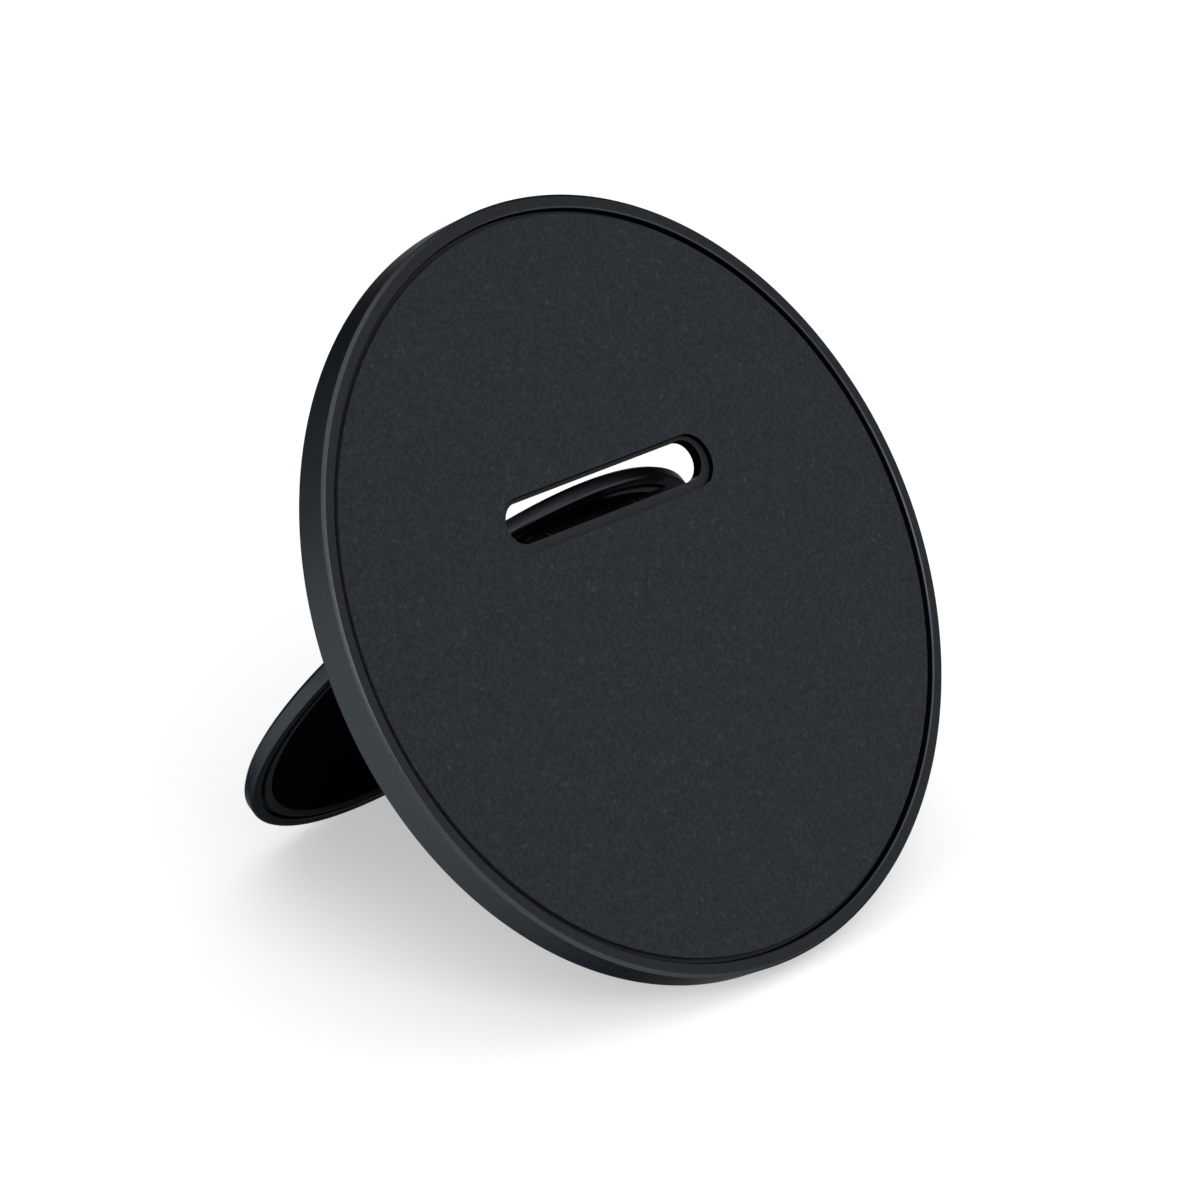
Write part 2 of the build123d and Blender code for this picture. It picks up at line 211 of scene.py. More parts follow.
# ---- derived leg sizes: heights from the pin axis, towards the disc ----
leg_centre = leg_top_above_pin - leg_radius
leg_inner_face = -leg_face_from_pin
leg_outer_face = leg_inner_face - leg_thickness
leg_floor = leg_inner_face - leg_recess
leg_inner_radius = leg_radius - leg_lip
inlay_radius = leg_inner_radius - inlay_gap
inlay_bottom = leg_floor + film_thickness
inlay_top = inlay_bottom + inlay_thickness
cove_radius = inlay_radius - cove_margin
cove_floor = inlay_top - cove_depth
seat_half_length = knuckle_half_length + seat_margin
seat_bottom = -leaf_length - seat_margin
seat_top = -leaf_knuckle_radius - swing_gap

# ---- derived openings ----
leg_swing = hypot(leg_top_above_pin, -leg_outer_face - leg_rear_chamfer)
pocket_top = pin_up + leg_swing + swing_gap
pocket_bottom = pin_up - leaf_knuckle_radius - swing_gap
slot_top = pin_up + sqrt(leg_swing**2 - (pin_depth - carrier_back) ** 2) + slot_clearance
cut_out_bottom = slot_bottom - ledge_below
cut_out_top = slot_top + ledge_above
cut_out_half_length = slot_half_length + ledge_ends

# ---- derived screws ----
bracket_bottom = pocket_bottom - bracket_height
bracket_screw_row = pocket_bottom - screw_edge
bracket_screw_places = [
    (-outer_knuckle_end + screw_edge, bracket_screw_row),
    (-knuckle_half_length + screw_edge / 2, bracket_screw_row - screw_row),
    (knuckle_half_length - screw_edge / 2, bracket_screw_row - screw_row),
    (outer_knuckle_end - screw_edge, bracket_screw_row),
]
leaf_screw_row = -leaf_length + screw_edge
leaf_screw_places = [
    (-knuckle_half_length + screw_edge, leaf_screw_row + screw_row),
    (knuckle_half_length - screw_edge, leaf_screw_row + screw_row),
    (0, leaf_screw_row),
]
carrier_screw_places = [
    (carrier_screw_circle * cos(radians(a)), carrier_screw_circle * sin(radians(a)))
    for a in range(-135, 180, 90)
]
bracket_screw_length = bracket_back - land_depth - screw_floor
carrier_screw_length = disc_height - carrier_front - screw_floor
leaf_screw_length = leaf_front - leg_outer_face - screw_floor

# ---- the two spaces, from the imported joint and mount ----
joint = frame["joints"][0]
pin = Vector(joint["pos_m"])
forward = Vector(frame["record"]["mounts"][0]["axis"]).normalized()
across = Vector((1, 0, 0))
upward = forward.cross(across)
disc_middle = pin - upward * pin_up * MILLIMETRE + forward * pin_depth * MILLIMETRE
axes = Matrix((across, upward, forward)).transposed().to_4x4()
millimetres = Matrix.Scale(MILLIMETRE, 4)
opening = Matrix.Rotation(radians(-joint["range_deg"][0]), 4, "X")
spaces = {
    "disc": Matrix.Translation(disc_middle) @ axes @ millimetres,
    "leg": Matrix.Translation(pin) @ axes @ opening @ millimetres,
}
along_pin = Matrix(((0, 0, 1, 0), (1, 0, 0, 0), (0, 1, 0, 0), (0, 0, 0, 1)))
at_pin_in_disc = Matrix.Translation((0, pin_up, -pin_depth))
at_leg_centre = Matrix.Translation((0, leg_centre, 0))


# ---- outlines and paths ----


def arc(middle_x, middle_y, radius, start, end, steps):
    """Points along an arc, angles in radians."""
    turns = [start + (end - start) * i / steps for i in range(steps + 1)]
    return [(middle_x + radius * cos(t), middle_y + radius * sin(t)) for t in turns]


def softened(corners):
    """A path through (x, y) points, where a point (x, y, radius) is rounded off."""
    path = []
    for i, corner in enumerate(corners):
        here = Vector(corner[:2])
        if len(corner) == 2:
            path.append(tuple(here))
            continue
        back = (Vector(corners[i - 1][:2]) - here).normalized()
        ahead = (Vector(corners[i + 1][:2]) - here).normalized()
        half = back.angle(ahead) / 2
        reach = corner[2] / sin(half) * cos(half)
        start = here + back * reach
        end = here + ahead * reach
        for step in range(EDGE_STEPS + 1):
            share = step / EDGE_STEPS
            first = start.lerp(here, share)
            second = here.lerp(end, share)
            path.append(tuple(first.lerp(second, share)))
    return path


def circle(radius):
    """A round outline: the path of a loft gives its radius."""
    turns = [2 * pi * i / CIRCLE_POINTS for i in range(CIRCLE_POINTS)]
    return [(radius * cos(t), radius * sin(t)) for t in turns]


def stadium(half_length, low, high):
    """An outline function for a round-ended opening across the disc, between two heights up it."""
    middle = (low + high) / 2
    half_width = (high - low) / 2
    straight = half_length - half_width

    def outline(grow):
        right = arc(straight, middle, half_width + grow, -pi / 2, pi / 2, SLOT_END_STEPS)
        left = arc(-straight, middle, half_width + grow, pi / 2, 3 * pi / 2, SLOT_END_STEPS)
        return right + left

    return outline


def rounded_box(left, right, low, high, corner):
    """An outline function for a rectangle with rounded corners."""
    centres = (
        (right - corner, high - corner),
        (left + corner, high - corner),
        (left + corner, low + corner),
        (right - corner, low + corner),
    )

    def outline(grow):
        quarter = pi / 2
        points = []
        for i, (x, y) in enumerate(centres):
            points += arc(x, y, corner + grow, i * quarter, (i + 1) * quarter, PLATE_CORNER_STEPS)
        return points

    return outline


def curl(outer, inner, degrees):
    """An outline function for a knuckle's section, open between two angles."""
    start, end = (radians(angle) for angle in degrees)

    def outline(grow):
        outside = arc(0, 0, outer + grow, start, end, CURL_STEPS)
        inside = arc(0, 0, inner - grow, end, start, CURL_STEPS)
        return outside + inside

    return outline


def magnet_pocket(turn):
    """An outline function for one magnet's pocket, turned round the ring."""
    middle_radius = (magnet_inner_radius + magnet_outer_radius) / 2
    half_width = middle_radius * pi / magnet_count - magnet_rib / 2 + magnet_gap
    start = turn - half_width / middle_radius
    end = turn + half_width / middle_radius

    def outline(grow):
        outside = arc(0, 0, magnet_outer_radius + magnet_gap + grow, start, end, POCKET_STEPS)
        inside = arc(0, 0, magnet_inner_radius - magnet_gap - grow, end, start, POCKET_STEPS)
        return outside + inside

    return outline


def widened(outline, gap):
    """An outline function for the same outline with a gap left all round it."""

    def wider(grow):
        return outline(gap + grow)

    return wider


def rounded_mouth(start, face, radius, up=1):
    """A cutter's path up through a face, flared so that the edge it leaves is rounded."""
    path = [(0, start), (0, face - up * radius)]
    for degrees in range(MOUTH_TURN, 90, MOUTH_TURN):
        turn = radians(degrees)
        path.append((radius * (1 - cos(turn)), face - up * radius * (1 - sin(turn))))
    widest = path[-1][0] + radius / 2
    path.append((widest, face + up * radius * mouth_lift))
    path.append((widest, face + up * PAST))
    return path


# ---- solids ----


def loft(outline, path, space=Matrix.Identity(4)):
    """A closed solid: the outline repeated at each (grow, height) of the path, capped at both ends."""
    shape = bmesh.new()
    rings = []
    for grow, height in path:
        rings.append([shape.verts.new((x, y, height)) for x, y in outline(grow)])
    for lower, upper in zip(rings, rings[1:]):
        for i in range(len(lower)):
            shape.faces.new((lower[i - 1], lower[i], upper[i], upper[i - 1]))
    shape.faces.new(rings[0])
    shape.faces.new(rings[-1])
    bmesh.ops.recalc_face_normals(shape, faces=shape.faces)
    mesh = bpy.data.meshes.new("solid")
    shape.to_mesh(mesh)
    shape.free()
    mesh.transform(space)
    solid = bpy.data.objects.new("solid", mesh)
    bpy.context.scene.collection.objects.link(solid)
    return solid


def applied(solid):
    """The solid with its modifiers made permanent."""
    graph = bpy.context.evaluated_depsgraph_get()
    mesh = bpy.data.meshes.new_from_object(solid.evaluated_get(graph))
    solid.modifiers.clear()
    solid.data = mesh
    return solid


def combine(solid, tools, operation):
    """Cut the tools from a solid, or add them to it."""
    for tool in tools:
        modifier = solid.modifiers.new("combine", "BOOLEAN")
        modifier.operation = operation
        modifier.solver = "EXACT"
        modifier.object = tool
    applied(solid)
    for tool in tools:
        bpy.data.objects.remove(tool)
    return solid


def joined(solids):
    """Several separate solids as one object."""
    shape = bmesh.new()
    for solid in solids:
        shape.from_mesh(solid.data)
    mesh = bpy.data.meshes.new("solid")
    shape.to_mesh(mesh)
    shape.free()
    for solid in solids[1:]:
        bpy.data.objects.remove(solid)
    solids[0].data = mesh
    return solids[0]


def round_plate(radius, back, front, back_edge, front_edge):
    """A round plate between two heights, with its edges rounded."""
    path = [(plate_middle, back), (radius, back, back_edge)]
    path += [(radius, front, front_edge), (plate_middle, front)]
    return loft(circle, softened(path))


def knuckle(outer, inner, degrees, start, end, place=Matrix.Identity(4)):
    """A curled knuckle along the pin, between two stations, with its ends slightly broken."""
    path = [(-knuckle_break, start), (0, start + knuckle_break_length)]
    path += [(0, end - knuckle_break_length), (-knuckle_break, end)]
    return loft(curl(outer, inner, degrees), path, place @ along_pin)


def screw_holes(places, height, length, up=1):
    """Cutters for countersunk screws, with their heads at a height."""
    depth = length + screw_hole_gap
    inner = screw_radius + screw_hole_gap
    head = screw_head_radius + screw_hole_gap
    path = [
        (inner, height - up * depth),
        (inner, height - up * screw_head_height),
        (head, height),
        (head, height + up * PAST),
    ]
    return [loft(circle, path, Matrix.Translation((x, y, 0))) for x, y in places]


def screws(places, height, length, up=1):
    """Countersunk screws with a cross recess, joined into one piece."""
    path = softened(
        [
            (axis_middle, -length),
            (screw_radius - screw_tip, -length, screw_soft_edge),
            (screw_radius, -length + screw_tip, screw_soft_edge),
            (screw_radius, -screw_head_height, screw_soft_edge),
            (screw_head_radius, -head_rim_height, head_side_edge),
            (screw_head_radius - head_rim_inset, 0, head_top_edge),
            (axis_middle, 0),
        ]
    )
    blade = rounded_box(
        -cross_half_length, cross_half_length, -cross_half_width, cross_half_width, cross_corner
    )
    flip = Matrix.Rotation(0 if up > 0 else pi, 4, "X")
    made = []
    for x, y in places:
        body = loft(circle, path)
        blades = [loft(blade, cross_path, Matrix.Rotation(turn, 4, "Z")) for turn in (0, pi / 2)]
        combine(body, blades, "DIFFERENCE")
        spin = Matrix.Rotation(radians(screw_spin * (len(made) + 1)), 4, "Z")
        body.data.transform(Matrix.Translation((x, y, height)) @ flip @ spin)
        made.append(body)
    return joined(made)


# ---- pieces of the main disc ----


def make_disc_shell():
    """The housing: a shallow dish with the shield ring's groove, and the hinge's pocket in its back."""
    shell = loft(
        circle,
        softened(
            [
                (housing_middle, -disc_height),
                (disc_radius - rim_rear_chamfer, -disc_height, rim_rear_edge),
                (disc_radius, -disc_height + rim_rear_chamfer, rim_rear_edge),
                (disc_radius, -rim_front_chamfer, rim_front_edge),
                (disc_radius - rim_front_chamfer, 0, rim_front_edge),
                (recess_radius + rim_inner_chamfer, 0, rim_inner_edge),
                (recess_radius, -rim_inner_chamfer, rim_inner_edge),
                (recess_radius, -shield_floor),
                (land_radius, -shield_floor),
                (land_radius, -land_depth),
            ]
        ),
    )
    pocket = rounded_box(
        -pocket_half_length, pocket_half_length, pocket_bottom, pocket_top, pocket_corner
    )
    let_in = rounded_box(
        -outer_knuckle_end - let_in_gap,
        outer_knuckle_end + let_in_gap,
        bracket_bottom - let_in_gap,
        pocket_bottom + pocket_corner,
        plate_corner,
    )
    cutters = [
        loft(pocket, rounded_mouth(0, -disc_height, pocket_edge, up=-1)),
        loft(let_in, rounded_mouth(-bracket_front, -disc_height, let_in_edge, up=-1)),
    ]
    cutters += screw_holes(bracket_screw_places, -bracket_back, bracket_screw_length, up=-1)
    cutters += screw_holes(carrier_screw_places, -carrier_front, carrier_screw_length)
    return combine(shell, cutters, "DIFFERENCE")


def make_pad_sheet():
    """The grained pad, with its round-ended cut-out."""
    pad = round_plate(pad_radius, -pad_back, -pad_recess, pad_rear_edge, pad_edge)
    cut_out = stadium(cut_out_half_length, cut_out_bottom, cut_out_top)
    mouth = rounded_mouth(-pad_back - PAST, -pad_recess, pad_mouth_edge)
    return combine(pad, [loft(cut_out, mouth)], "DIFFERENCE")


def make_carrier_plate():
    """The plate under the pad, with the slot, the magnets' pockets in its back, and four screw holes."""
    carrier = round_plate(carrier_radius, -carrier_back, -carrier_front, carrier_edge, carrier_edge)
    slot = stadium(slot_half_length, slot_bottom, slot_top)
    cutters = [loft(slot, rounded_mouth(-carrier_back - PAST, -carrier_front, carrier_edge))]
    pocket_path = [(0, -carrier_back - PAST), (0, -carrier_back + magnet_thickness + magnet_gap)]
    for i in range(magnet_count):
        turn = 2 * pi * (i + magnet_count / 4) / magnet_count
        cutters.append(loft(magnet_pocket(turn), pocket_path))
    cutters += screw_holes(carrier_screw_places, -carrier_front, carrier_screw_length)
    return combine(carrier, cutters, "DIFFERENCE")


def make_bracket_plate():
    """The disc's half of the hinge: a plate with two arms that curl round the pin."""
    path = [(-plate_break, -bracket_back), (0, -bracket_back + plate_break_depth), (0, -bracket_front)]
    bracket = loft(
        rounded_box(-outer_knuckle_end, outer_knuckle_end, bracket_bottom, pocket_bottom, plate_corner),
        path,
    )
    sizes = (bracket_knuckle_radius, bracket_bore_radius, bracket_curl)
    additions = []
    for side in (-1, 1):
        start, end = sorted((side * outer_knuckle_start, side * outer_knuckle_end))
        arm = rounded_box(start, end, pocket_bottom - arm_root, pin_up, arm_corner)
        additions.append(loft(arm, path))
        additions.append(knuckle(*sizes, start, end, at_pin_in_disc))
    combine(bracket, additions, "UNION")
    holes = screw_holes(bracket_screw_places, -bracket_back, bracket_screw_length, up=-1)
    return combine(bracket, holes, "DIFFERENCE")


def make_pin_end_caps():
    """The two push-on caps at the ends of the pin."""
    path = softened(
        [
            (axis_middle, cap_length),
            (pin_radius + cap_wall, cap_length, cap_round),
            (pin_radius + cap_wall, 0, cap_mouth_edge),
            (pin_radius, 0, cap_mouth_edge),
            (pin_radius, cap_length - cap_wall / 2),
            (axis_middle, cap_length - cap_wall / 2),
        ]
    )
    caps = []
    for side, turn in ((-1, pi), (1, 0)):
        offset = Matrix.Translation((side * outer_knuckle_end, 0, 0))
        outwards = Matrix.Rotation(turn, 4, "Z")
        caps.append(loft(circle, path, at_pin_in_disc @ offset @ outwards @ along_pin))
    return joined(caps)


# ---- pieces of the leg ----

seat_outline = rounded_box(-seat_half_length, seat_half_length, seat_bottom, seat_top, plate_corner)


def make_leg_plate():
    """The leg: a shallow round dish with a lip, and a raised seat for the hinge's leaf."""
    leg = loft(
        circle,
        softened(
            [
                (leg_middle, leg_outer_face),
                (leg_radius - leg_rear_chamfer, leg_outer_face, leg_rear_edge),
                (leg_radius, leg_outer_face + leg_rear_chamfer, leg_rear_edge),
                (leg_radius, leg_inner_face - leg_front_chamfer, leg_front_edge),
                (leg_radius - leg_front_chamfer, leg_inner_face, leg_front_edge),
                (leg_inner_radius, leg_inner_face, leg_front_edge),
                (leg_inner_radius, leg_floor),
                (leg_middle, leg_floor),
            ]
        ),
        at_leg_centre,
    )
    seat_path = [(0, leg_floor - seat_root), (0, leaf_back - seat_edge), (-seat_edge, leaf_back)]
    combine(leg, [loft(seat_outline, seat_path)], "UNION")
    holes = screw_holes(leaf_screw_places, leaf_front, leaf_screw_length)
    return combine(leg, holes, "DIFFERENCE")


def make_leg_dish():
    """The leg's inlay: a flat edge, a cove down to the sunk middle, and a cut-out round the leaf's seat."""
    path = [(inlay_middle, inlay_bottom), (inlay_radius - inlay_foot_edge, inlay_bottom)]
    path.append((inlay_radius, inlay_bottom + inlay_foot_edge))
    path += [(inlay_radius - inwards, inlay_top - down) for inwards, down in inlay_top_edge]
    for i in range(COVE_STEPS + 1):
        share = i / COVE_STEPS
        path.append((cove_radius - cove_width * share, inlay_top - cove_depth * sin(share * pi / 2)))
    path.append((inlay_middle, cove_floor))
    inlay = loft(circle, path, at_leg_centre)
    mouth = rounded_mouth(inlay_bottom - PAST, cove_floor, inlay_mouth_edge)
    return combine(inlay, [loft(widened(seat_outline, inlay_gap), mouth)], "DIFFERENCE")


def make_leaf_plate():
    """The leg's half of the hinge: a plate whose upper end curls round the friction sleeve."""
    half = knuckle_half_length
    leaf = loft(
        rounded_box(-half, half, -leaf_length, leaf_root, plate_corner),
        [(0, leaf_back), (0, leaf_front - plate_break_depth), (-plate_break, leaf_front)],
    )
    combine(leaf, [knuckle(leaf_knuckle_radius, leaf_bore_radius, leaf_curl, -half, half)], "UNION")
    holes = screw_holes(leaf_screw_places, leaf_front, leaf_screw_length)
    return combine(leaf, holes, "DIFFERENCE")


# ---- finishes ----
fine_detail = 2.0
fine_roughness = 0.55
tone_range = (0.3, 0.7)      # of the fine noise, from the dark colour to the light one
fleck_scale = 0.55           # of the grain
fleck_detail = 1.0
fleck_roughness = 0.5
fleck_range = (0.66, 0.78)   # of the sparse noise, from no fleck to a full one
uneven = 0.06                # roughness, more and less


def noise(tree, place, scale, detail, roughness):
    """A noise texture fixed to the piece, in features per metre."""
    texture = tree.nodes.new("ShaderNodeTexNoise")
    texture.inputs["Scale"].default_value = scale
    texture.inputs["Detail"].default_value = detail
    texture.inputs["Roughness"].default_value = roughness
    tree.links.new(place, texture.inputs["Vector"])
    return texture.outputs["Fac"]


def remapped(tree, value, side, limits):
    """A value carried from one range to another; limits are its From or its To side."""
    node = tree.nodes.new("ShaderNodeMapRange")
    node.inputs[side + " Min"].default_value = limits[0]
    node.inputs[side + " Max"].default_value = limits[1]
    tree.links.new(value, node.inputs["Value"])
    return node.outputs["Result"]


def two_tone(tree, value, *colours):
    """A colour that goes from the first to the second as the value rises."""
    ramp = tree.nodes.new("ShaderNodeValToRGB")
    for stop, position, colour in zip(ramp.color_ramp.elements, tone_range, colours):
        stop.position = position
        stop.color = (*colour, 1)
    tree.links.new(value, ramp.inputs["Fac"])
    return ramp.outputs["Color"]


def flecked(tree, place, grain, colour, flecks):
    """A colour with sparse flecks of another one, where a coarser noise peaks."""
    sparse = noise(tree, place, grain * fleck_scale, fleck_detail, fleck_roughness)
    blend = tree.nodes.new("ShaderNodeMix")
    blend.data_type = "RGBA"
    amount, under, over = (blend.inputs[i] for i in (0, 6, 7))
    tree.links.new(remapped(tree, sparse, "From", fleck_range), amount)
    tree.links.new(colour, under)
    over.default_value = (*flecks, 1)
    return blend.outputs[2]


def surface(
    name, dark, light, roughness, grain, relief, metallic=0.0, specular=0.5, edge_tint=1.0, flecks=None
):
    """A fine-grained finish: grain in grains per metre, relief in micrometres, flecks a colour or none."""
    material = bpy.data.materials.new(name)
    material.use_nodes = True
    tree = material.node_tree
    shader = tree.nodes["Principled BSDF"]
    shader.inputs["Metallic"].default_value = metallic
    shader.inputs["Specular IOR Level"].default_value = specular
    shader.inputs["Specular Tint"].default_value = (edge_tint, edge_tint, edge_tint, 1)
    place = tree.nodes.new("ShaderNodeTexCoord").outputs["Object"]
    fine = noise(tree, place, grain, fine_detail, fine_roughness)
    colour = two_tone(tree, fine, dark, light)
    if flecks:
        colour = flecked(tree, place, grain, colour, flecks)
    tree.links.new(colour, shader.inputs["Base Color"])
    dullness = remapped(tree, fine, "To", (roughness - uneven, roughness + uneven))
    tree.links.new(dullness, shader.inputs["Roughness"])
    bump = tree.nodes.new("ShaderNodeBump")
    bump.inputs["Distance"].default_value = relief * MICROMETRE
    tree.links.new(fine, bump.inputs["Height"])
    tree.links.new(bump.outputs["Normal"], shader.inputs["Normal"])
    return material


anodised = surface(
    "matte_black_anodised", (0.046, 0.052, 0.057), (0.057, 0.0635, 0.070),
    roughness=0.36, grain=5200, relief=1, metallic=1.0, edge_tint=0.28,
)
pad_surface = surface(
    "grained_charcoal_pad", (0.0076, 0.0105, 0.0138), (0.0190, 0.0240, 0.0290),
    roughness=0.75, grain=3100, relief=12, specular=0.2, flecks=(0.026, 0.031, 0.036),
)
carrier_surface = surface(
    "smooth_black_plastic", (0.010, 0.012, 0.014), (0.014, 0.016, 0.018),
    roughness=0.5, grain=3000, relief=1, specular=0.25,
)
# Painted shade: a near-black finish for the walls of the pad's cut-out and the carrier's slot, except their lower
# side, standing in for the shade inside the slot.
painted_slot_shade = surface(
    "painted_shade_slot_black", (0.0006, 0.0008, 0.0010), (0.0016, 0.0018, 0.0020),
    roughness=0.7, grain=6000, relief=3, specular=0.0,
)
inlay_surface = surface(
    "satin_black_inlay", (0.0014, 0.0018, 0.0034), (0.0028, 0.0034, 0.0056),
    roughness=0.6, grain=6000, relief=2, specular=0.0,
)
# Painted sheen: a slightly lighter and glossier copy of the inlay's finish, for its border and the outer part of
# its cove. The gloss is real, and the lighter colour stands in for light caught there.
inlay_border_sheen = surface(
    "painted_sheen_inlay_border", (0.0018, 0.0022, 0.0034), (0.0030, 0.0036, 0.0054),
    roughness=0.45, grain=6000, relief=2, specular=0.006,
)
coated_steel = surface(
    "black_coated_steel", (0.0012, 0.0012, 0.002), (0.0035, 0.0035, 0.0042),
    roughness=0.5, grain=4000, relief=3, specular=0.04,
)
black_zinc = surface(
    "black_zinc", (0.09, 0.09, 0.095), (0.14, 0.14, 0.145),
    roughness=0.34, grain=5000, relief=2, metallic=1.0,
)
ground_steel = surface(
    "ground_steel", (0.45, 0.45, 0.45), (0.56, 0.56, 0.55),
    roughness=0.26, grain=6000, relief=1, metallic=1.0,
)
nickel = surface(
    "nickel_plate", (0.66, 0.64, 0.60), (0.74, 0.72, 0.68),
    roughness=0.2, grain=3000, relief=1, metallic=1.0,
)
nylon = surface(
    "black_nylon", (0.012, 0.012, 0.013), (0.020, 0.020, 0.021),
    roughness=0.5, grain=4000, relief=2,
)
film = surface(
    "adhesive_film", (0.44, 0.44, 0.42), (0.52, 0.52, 0.50),
    roughness=0.45, grain=3000, relief=2,
)

carried_over = {
    "pad_adhesive": film,
    "carrier_adhesive": film,
    "shield_adhesive": film,
    "inlay_adhesive": film,
    "ring_magnets": nickel,
    "carrier_screws": black_zinc,
    "shield_ring": ground_steel,
    "hinge_pin": ground_steel,
    "thrust_washers": nylon,
    "friction_sleeve": ground_steel,
}
for node, material in carried_over.items():
    for material_slot in frame["nodes"][node].material_slots:
        material_slot.material = material

# ---- a second finish on some faces of a piece: painted shade on the slot's walls, painted sheen on the leg inlay's border ----
looking_up = 0.9             # cosines, from which a face counts as looking that way
looking_out = 0.8


def finish_faces(solid, space, material, chosen):
    """Give another finish to the faces whose place and direction, in the space's millimetres, are chosen."""
    inward = space.inverted()
    turn = inward.to_3x3().normalized()
    solid.data.materials.append(material)
    for face in solid.data.polygons:
        if chosen(inward @ face.center, turn @ face.normal):
            face.material_index = 1


def shaded_slot_face(place, facing):
    """Whether a face of a disc piece is on the ends or the upper side of the slot through it, where the slot's
    shade is painted.
    """
    near = abs(place.x) < slot_half_length + 2 * ledge_ends
    level = slot_bottom - 2 * ledge_below < place.y < slot_top + ledge_below
    not_lower = facing.y < looking_up * hypot(facing.x, facing.y)
    return near and level and not_lower and abs(facing.z) < looking_out


def inlay_border(place, _):
    """Whether a face of the leg's inlay is on the outer part of its cove or on its rim, where a painted sheen
    goes.
    """
    from_centre = hypot(place.x, place.y - leg_centre)
    return from_centre > inlay_radius - inlay_border_share * cove_width


# ---- pieces in place ----
smooth_angle = radians(40)   # edges sharper than this stay sharp


def piece(solid, name, body, node, material):
    """Finish a solid: put it in place, shade it smoothly between its edges and give it its body."""
    solid.name = name
    solid.data.name = name
    solid.data.transform(spaces[body])
    solid.data.polygons.foreach_set("use_smooth", [True] * len(solid.data.polygons))
    solid.data.set_sharp_from_angle(angle=smooth_angle)
    shading = solid.modifiers.new("even_shading", "WEIGHTED_NORMAL")
    shading.keep_sharp = True
    applied(solid)
    solid.data.materials.clear()
    solid.data.materials.append(material)
    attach(solid, body)
    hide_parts(node)
    return solid


piece(make_disc_shell(), "disc_shell", "disc", "disc_housing", anodised)
pad = piece(make_pad_sheet(), "pad_sheet", "disc", "front_pad", pad_surface)
# Painted shade on the slot's end and upper walls, here in the pad and, two lines down, in the carrier.
finish_faces(pad, spaces["disc"], painted_slot_shade, shaded_slot_face)
carrier = piece(make_carrier_plate(), "carrier_plate", "disc", "magnet_carrier", carrier_surface)
finish_faces(carrier, spaces["disc"], painted_slot_shade, shaded_slot_face)
piece(make_bracket_plate(), "bracket_plate", "disc", "hinge_bracket", coated_steel)
bracket_screws = screws(bracket_screw_places, -bracket_back, bracket_screw_length, up=-1)
piece(bracket_screws, "bracket_cross_screws", "disc", "bracket_screws", black_zinc)
piece(make_pin_end_caps(), "pin_end_caps", "disc", "pin_caps", coated_steel)
piece(make_leg_plate(), "leg_plate", "leg", "leg_disc", anodised)
inlay = piece(make_leg_dish(), "leg_dish", "leg", "leg_inlay", inlay_surface)
# Painted sheen on the inlay's border and the outer part of its cove.
finish_faces(inlay, spaces["leg"], inlay_border_sheen, inlay_border)
piece(make_leaf_plate(), "leaf_plate", "leg", "hinge_leaf", coated_steel)
leaf_screws = screws(leaf_screw_places, leaf_front, leaf_screw_length)
piece(leaf_screws, "leaf_cross_screws", "leg", "leaf_screws", black_zinc)

# ---- camera: places in radii of the main disc ----
view_from = radians(47.85)
view_above = radians(21.63)
eye_across = -0.1173
eye_up = -0.0499
eye_back = 13.0
sensor_width = 36.0          # millimetres
focal_length = 158.24
nearest = 0.01               # metres
farthest = 20.0

backward = Vector(
    (-sin(view_from) * cos(view_above), -cos(view_from) * cos(view_above), sin(view_above))
)
rightward = Vector((cos(view_from), -sin(view_from), 0))
top = backward.cross(rightward)
camera_data = bpy.data.cameras.new("camera")
camera_data.sensor_width = sensor_width
camera_data.lens = focal_length
camera_data.clip_start = nearest
camera_data.clip_end = farthest
camera = bpy.data.objects.new("camera", camera_data)
bpy.context.scene.collection.objects.link(camera)
radius = disc_radius * MILLIMETRE
eye = disc_middle + radius * (eye_across * rightward + eye_up * top + eye_back * backward)
camera.matrix_world = (
    Matrix.Translation(eye) @ Matrix((rightward, top, backward)).transposed().to_4x4()
)
bpy.context.scene.camera = camera

# ---- floor, sky and lights ----
floor_reach = 6.0            # metres, from the middle to each side
floor_colour = 0.64
floor_glow = 0.46            # added to the paint for rays from the camera, from gloss and through glass
sky_strength = 0.44


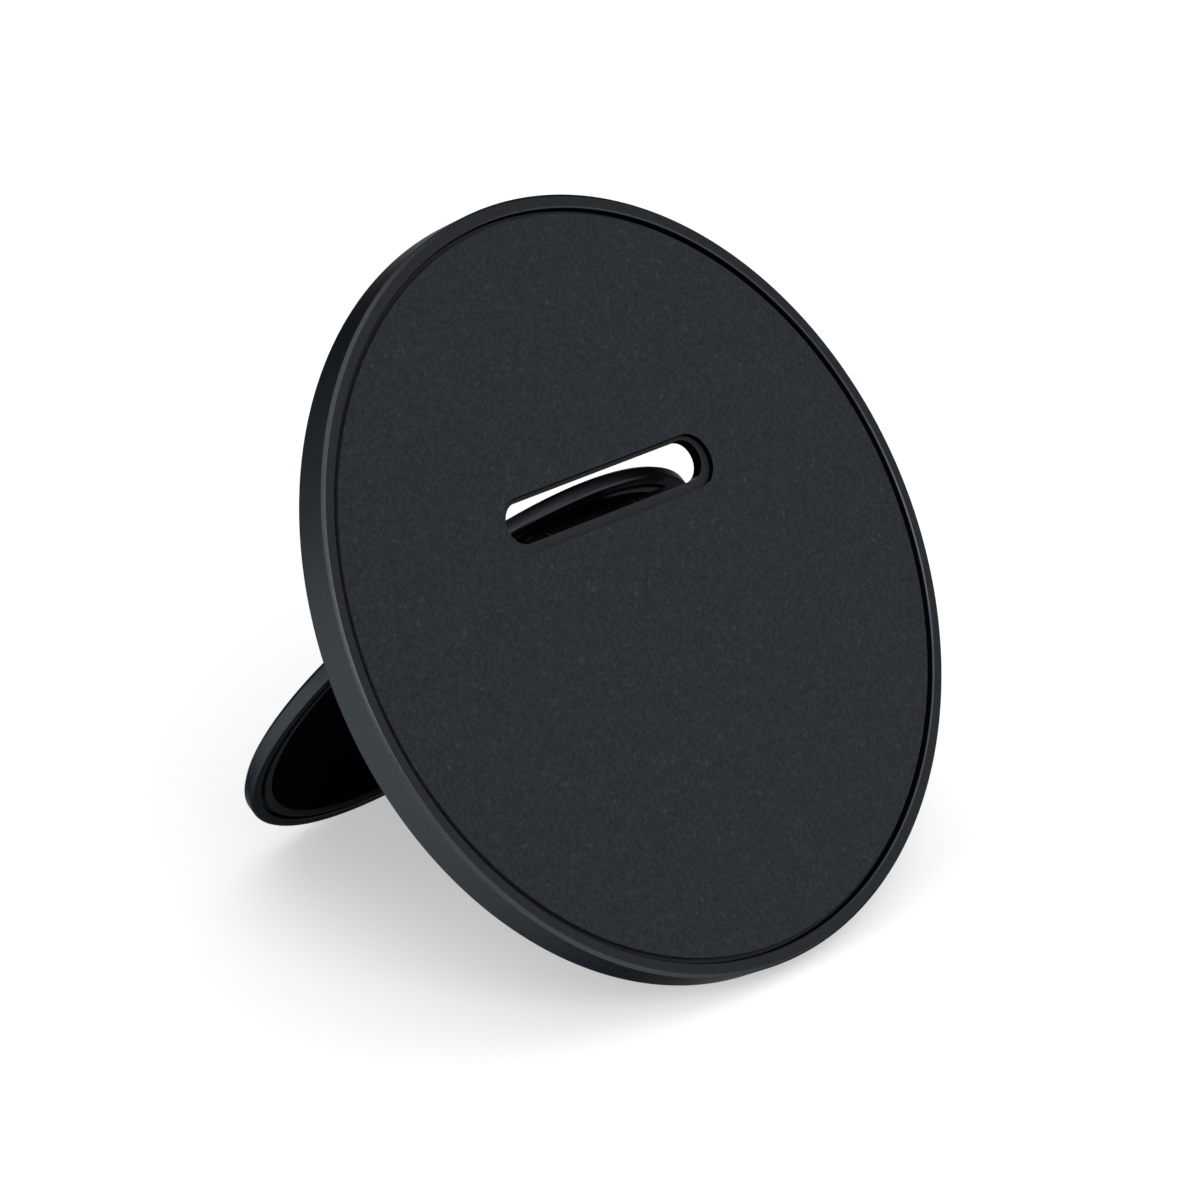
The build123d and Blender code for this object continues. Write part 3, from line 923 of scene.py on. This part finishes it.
def glowing_paint(name, colour, strength):
    """A matt paint that also glows, but only where the camera, a gloss or a glass sees it."""
    material = bpy.data.materials.new(name)
    material.use_nodes = True
    tree = material.node_tree
    tree.nodes.remove(tree.nodes["Principled BSDF"])
    paint = tree.nodes.new("ShaderNodeBsdfDiffuse")
    paint.inputs["Color"].default_value = (colour, colour, colour, 1)
    path = tree.nodes.new("ShaderNodeLightPath")
    seen = path.outputs["Is Camera Ray"]
    for kind in ("Is Glossy Ray", "Is Transmission Ray"):
        either = tree.nodes.new("ShaderNodeMath")
        either.operation = "MAXIMUM"
        tree.links.new(seen, either.inputs[0])
        tree.links.new(path.outputs[kind], either.inputs[1])
        seen = either.outputs["Value"]
    amount = tree.nodes.new("ShaderNodeMath")
    amount.operation = "MULTIPLY"
    amount.inputs[1].default_value = strength
    tree.links.new(seen, amount.inputs[0])
    glow = tree.nodes.new("ShaderNodeEmission")
    tree.links.new(amount.outputs["Value"], glow.inputs["Strength"])
    both = tree.nodes.new("ShaderNodeAddShader")
    tree.links.new(paint.outputs["BSDF"], both.inputs[0])
    tree.links.new(glow.outputs["Emission"], both.inputs[1])
    tree.links.new(both.outputs["Shader"], tree.nodes["Material Output"].inputs["Surface"])
    return material


floor_shape = bmesh.new()
bmesh.ops.create_grid(floor_shape, x_segments=2, y_segments=2, size=floor_reach)
floor_mesh = bpy.data.meshes.new("floor")
floor_shape.to_mesh(floor_mesh)
floor_shape.free()
floor_mesh.materials.append(glowing_paint("white_table", floor_colour, floor_glow))
floor = bpy.data.objects.new("floor", floor_mesh)
bpy.context.scene.collection.objects.link(floor)

world = bpy.data.worlds.new("studio")
bpy.context.scene.world = world
world.use_nodes = True
sky = world.node_tree.nodes["Background"]
sky.inputs["Color"].default_value = (1, 1, 1, 1)
sky.inputs["Strength"].default_value = sky_strength


def soft_light(name, azimuth, elevation, spread, strength):
    """A far, wide, soft lamp: where it stands, seen from the object, and how wide it looks."""
    data = bpy.data.lights.new(name, "SUN")
    data.angle = radians(spread)
    data.energy = strength * pi
    lamp = bpy.data.objects.new(name, data)
    bpy.context.scene.collection.objects.link(lamp)
    side = radians(azimuth)
    height = radians(elevation)
    towards = Vector((sin(side) * cos(height), -cos(side) * cos(height), sin(height)))
    lamp.rotation_euler = towards.to_track_quat("Z", "Y").to_euler()


soft_light("key_light", azimuth=-32, elevation=34, spread=40, strength=0.48)
soft_light("top_light", azimuth=-48, elevation=80, spread=70, strength=0.3)

bpy.context.scene.view_settings.view_transform = "Standard"
